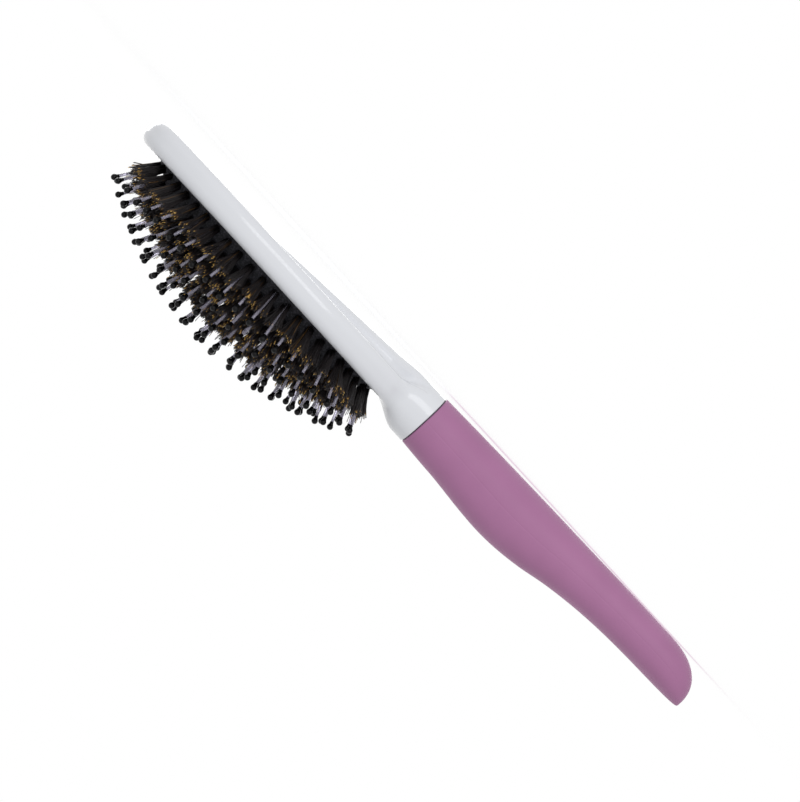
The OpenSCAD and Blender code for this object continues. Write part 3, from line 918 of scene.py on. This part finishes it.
# Each lamp's place, the lengths of its sides and its power in watts. Both stand low beside the brush, so
# that the plate's rounded edge towards the back is lit as well as its side.
LAMPS = {"key": ((0.0, -0.91, -0.42), (1.0, 0.5), 3.6),
         "back": ((0.1, 0.8, -0.1), (1.0, 0.3), 2.0)}
LAMP_TARGET = (0, 0, 0.01)

# The world's light on the pale floor and the floor's own glow add up to 1, which is white
WORLD_LIGHT = 0.6
FLOOR_GLOW = 0.46
FLOOR_HALF = 0.6
FLOOR_GAP = 0.0002


def background_rays(tree):
    """1 for the rays that see or mirror the background: of the camera, of gloss and of clear plastic."""
    path = tree.nodes.new("ShaderNodeLightPath")
    seen = add(tree, "ShaderNodeMath", {0: path.outputs["Is Camera Ray"], 1: path.outputs["Is Glossy Ray"]},
               operation="MAXIMUM")
    return add(tree, "ShaderNodeMath", {0: seen.outputs[0], 1: path.outputs["Is Transmission Ray"]},
               operation="MAXIMUM").outputs[0]


def pale_floor(tint):
    """Matt pale card. Open light and its own glow add up to white, and it keeps the brush's soft shadow."""
    made, tree, shader, where = material("card_matt_pale")
    tree.links.new(shades(tree, noise(tree, where, 1.0), [(0.3, tinted(tint, 0.99)), (0.7, tint)]),
                   shader.inputs["Base Color"])
    shader.inputs["Roughness"].default_value = 1.0
    shader.inputs["Specular IOR Level"].default_value = 0.0
    shader.inputs["Emission Color"].default_value = (1, 1, 1, 1)
    glow = add(tree, "ShaderNodeMath", {0: background_rays(tree)}, operation="MULTIPLY")
    glow.inputs[1].default_value = FLOOR_GLOW
    tree.links.new(glow.outputs[0], shader.inputs["Emission Strength"])
    return made


def area_lamp(name, place, sides, power):
    """A rectangular soft lamp, turned to the brush."""
    lamp = bpy.data.lights.new(name, "AREA")
    lamp.shape = "RECTANGLE"
    lamp.size, lamp.size_y = sides
    lamp.energy = power
    made = bpy.data.objects.new(name, lamp)
    place = Vector(place)
    facing = (place - Vector(LAMP_TARGET)).to_track_quat("Z", "Y")
    made.matrix_world = Matrix.Translation(place) @ facing.to_matrix().to_4x4()
    bpy.context.scene.collection.objects.link(made)


def studio_world():
    """White where it is seen or mirrored, and a plain even light elsewhere."""
    world = bpy.data.worlds.new("studio")
    bpy.context.scene.world = world
    world.use_nodes = True
    tree = world.node_tree
    shown = tree.nodes["Background"]
    shown.inputs["Color"].default_value = (1, 1, 1, 1)
    shown.inputs["Strength"].default_value = 1.0
    light = add(tree, "ShaderNodeBackground", Color=(1, 1, 1, 1), Strength=WORLD_LIGHT)
    mix = add(tree, "ShaderNodeMixShader",
              {0: background_rays(tree), 1: light.outputs[0], 2: shown.outputs[0]})
    tree.links.new(mix.outputs[0], tree.nodes["World Output"].inputs["Surface"])


def lay_floor(tint):
    """A square just under the lowest point. The lamps shine up through it, and it casts no shadow."""
    z = min(CAD_BOX[0][2], 0) - FLOOR_GAP
    corners = [(x * FLOOR_HALF, y * FLOOR_HALF, z) for x, y in ((-1, -1), (1, -1), (1, 1), (-1, 1))]
    mesh = bpy.data.meshes.new("floor")
    mesh.from_pydata(corners, [], [(0, 1, 2, 3)])
    mesh.materials.append(pale_floor(tint))
    floor = bpy.data.objects.new("floor", mesh)
    floor.visible_shadow = floor.visible_diffuse = False
    floor.visible_glossy = floor.visible_transmission = False
    bpy.context.scene.collection.objects.link(floor)


def place_camera():
    """The camera, turned about the upright, tipped down, and rolled about its own line of sight."""
    yaw, pitch, roll = np.radians((VIEW_YAW, VIEW_PITCH, VIEW_ROLL))
    right = Vector((np.cos(yaw), np.sin(yaw), 0))
    level = right.cross(Vector((0, 0, 1)))
    back = level * np.cos(pitch) + Vector((0, 0, 1)) * np.sin(pitch)
    up = back.cross(right)
    turned_right = right * np.cos(roll) + up * np.sin(roll)
    turned_up = up * np.cos(roll) - right * np.sin(roll)
    place = Vector(VIEW_MIDDLE) + back * VIEW_DISTANCE
    camera = bpy.data.cameras.new("camera")
    camera.sensor_fit = "HORIZONTAL"
    camera.sensor_width = SENSOR_WIDTH
    camera.lens = SENSOR_WIDTH * VIEW_DISTANCE / VIEW_WIDTH
    camera.clip_start = 0.01
    made = bpy.data.objects.new("camera", camera)
    made.matrix_world = Matrix((
        (turned_right.x, turned_up.x, back.x, place.x),
        (turned_right.y, turned_up.y, back.y, place.y),
        (turned_right.z, turned_up.z, back.z, place.z),
        (0, 0, 0, 1)))
    bpy.context.scene.collection.objects.link(made)
    bpy.context.scene.camera = made


# ---- Operators ----


def dressed(piece, body, slot, *nodes):
    """The piece rides on its body and stands for its nodes, which are hidden; the slot is not used."""
    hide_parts(*nodes)
    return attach(piece, body)


class HAIRBRUSH_OT_frame(bpy.types.Operator):
    """Builds the gloss white frame: oval plate, ridge and collar"""
    bl_idname = "hairbrush.frame"
    bl_label = "Moulded Frame"

    def execute(self, context):
        s = sizes(context.scene)
        piece = closed_grid("moulded_frame", frame_sections(s.head),
                            gloss_abs(context.scene.hairbrush_colours.white))
        dressed(piece, SHELL, "gloss_white", "head_frame")
        return {"FINISHED"}


class HAIRBRUSH_OT_handle(bpy.types.Operator):
    """Builds the soft sleeve of the handle and finishes the core inside it"""
    bl_idname = "hairbrush.handle"
    bl_label = "Soft Handle"

    def execute(self, context):
        s, colours = sizes(context.scene), context.scene.hairbrush_colours
        piece = closed_grid("soft_grip", grip_sleeve(s.grip), soft_touch(colours.mauve), flip=True)
        dressed(piece, SHELL, "soft_touch_mauve", "handle_grip")
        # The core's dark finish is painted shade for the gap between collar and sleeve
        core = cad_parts["handle_core"]
        core.data.materials.clear()
        core.data.materials.append(satin_core(colours.core))
        return {"FINISHED"}


class HAIRBRUSH_OT_cushion(bpy.types.Operator):
    """Builds the domed rubber cushion"""
    bl_idname = "hairbrush.cushion"
    bl_label = "Rubber Cushion"

    def execute(self, context):
        s = sizes(context.scene)
        piece = closed_grid("rubber_cushion", cushion_sections(s, tuft_frames(s).root),
                            stippled_rubber(context.scene.hairbrush_colours.rubber))
        dressed(piece, SHELL, "cushion_rubber", "cushion_pad")
        top_root = max(tuft_frames(s).root[:, 2]) - s.head.face_z
        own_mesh(piece)
        return {"FINISHED"}


class HAIRBRUSH_OT_tufts(bpy.types.Operator):
    """Builds the boar bristles, tuft by tuft, in the six zones of the cushion"""
    bl_idname = "hairbrush.tufts"
    bl_label = "Boar Tufts"

    def execute(self, context):
        s, colours = sizes(context.scene), context.scene.hairbrush_colours
        finish, field = boar_bristle(colours.bristle, colours.amber), tuft_frames(s)
        rng = np.random.default_rng(SEED + 1)
        for zone in ZONES:
            points, faces, tone = tuft_strands(s, in_zone(field, zone), rng)
            piece = mesh_object(f"boar_tufts_zone_{zone}", points, faces, finish, tone)
            dressed(piece, f"bristles_zone_{zone}", "boar_bristle", f"tufts_zone_{zone}")
        return {"FINISHED"}


class HAIRBRUSH_OT_pins(bpy.types.Operator):
    """Builds the nylon pins in the middle of the tufts"""
    bl_idname = "hairbrush.pins"
    bl_label = "Nylon Pins"

    def execute(self, context):
        s, finish = sizes(context.scene), nylon(context.scene.hairbrush_colours.nylon)
        b, field = s.bristles, pin_frames(s)
        profile = [(0, -1.5), (b.pin_r, -1.5), (b.pin_r, 0), (b.pin_r * 0.97, b.pin_len * 0.6),
                   (b.pin_r * 0.9, b.pin_len - 0.2), (0, b.pin_len - 0.1)]
        for zone in ZONES:
            points, quads, triangles = turned(in_zone(field, zone), profile, 10)
            piece = mesh_object(f"nylon_pins_zone_{zone}", points, [quads, triangles], finish)
            dressed(piece, f"bristles_zone_{zone}", "nylon_pin", f"pins_zone_{zone}")
        return {"FINISHED"}


class HAIRBRUSH_OT_balls(bpy.types.Operator):
    """Builds the black ball tips on the pins"""
    bl_idname = "hairbrush.balls"
    bl_label = "Ball Tips"

    def execute(self, context):
        s, finish = sizes(context.scene), ball_enamel(context.scene.hairbrush_colours.ball)
        field = pin_frames(s)
        for zone in ZONES:
            points, quads, triangles = turned(in_zone(field, zone), ball_profile(s.bristles), 12)
            piece = mesh_object(f"black_balls_zone_{zone}", points, [quads, triangles], finish)
            dressed(piece, f"bristles_zone_{zone}", "ball_tip", f"ball_tips_zone_{zone}")
        return {"FINISHED"}


class HAIRBRUSH_OT_stage(bpy.types.Operator):
    """Sets the floor, the lamps, the world and the camera"""
    bl_idname = "hairbrush.stage"
    bl_label = "Stage"

    def execute(self, context):
        context.scene.view_settings.view_transform = "Standard"
        studio_world()
        lay_floor(context.scene.hairbrush_colours.floor)
        for name, (place, sides, power) in LAMPS.items():
            area_lamp(name, place, sides, power)
        place_camera()
        return {"FINISHED"}


OPERATORS = (HAIRBRUSH_OT_frame, HAIRBRUSH_OT_handle, HAIRBRUSH_OT_cushion, HAIRBRUSH_OT_tufts,
             HAIRBRUSH_OT_pins, HAIRBRUSH_OT_balls, HAIRBRUSH_OT_stage)


class HAIRBRUSH_PT_panel(bpy.types.Panel):
    """Buttons that build the brush, and its sizes and colours"""
    bl_idname = "HAIRBRUSH_PT_panel"
    bl_label = "Hairbrush"
    bl_space_type = "VIEW_3D"
    bl_region_type = "UI"
    bl_category = "Hairbrush"

    def draw(self, context):
        for operator in OPERATORS:
            self.layout.operator(operator.bl_idname)
        for name, group in GROUPS.items():
            box = self.layout.box()
            for field in group.__annotations__:
                box.prop(getattr(context.scene, name), field)


def register():
    for group in GROUPS.values():
        bpy.utils.register_class(group)
    for name, group in GROUPS.items():
        setattr(bpy.types.Scene, name, PointerProperty(type=group))
    for operator in OPERATORS:
        bpy.utils.register_class(operator)
    bpy.utils.register_class(HAIRBRUSH_PT_panel)


def unregister():
    bpy.utils.unregister_class(HAIRBRUSH_PT_panel)
    for operator in reversed(OPERATORS):
        bpy.utils.unregister_class(operator)
    for name in GROUPS:
        delattr(bpy.types.Scene, name)
    for group in GROUPS.values():
        bpy.utils.unregister_class(group)


def main():
    register()
    bpy.ops.hairbrush.frame()
    bpy.ops.hairbrush.handle()
    bpy.ops.hairbrush.cushion()
    bpy.ops.hairbrush.tufts()
    bpy.ops.hairbrush.pins()
    bpy.ops.hairbrush.balls()
    bpy.ops.hairbrush.stage()


if __name__ == "__main__":
    main()
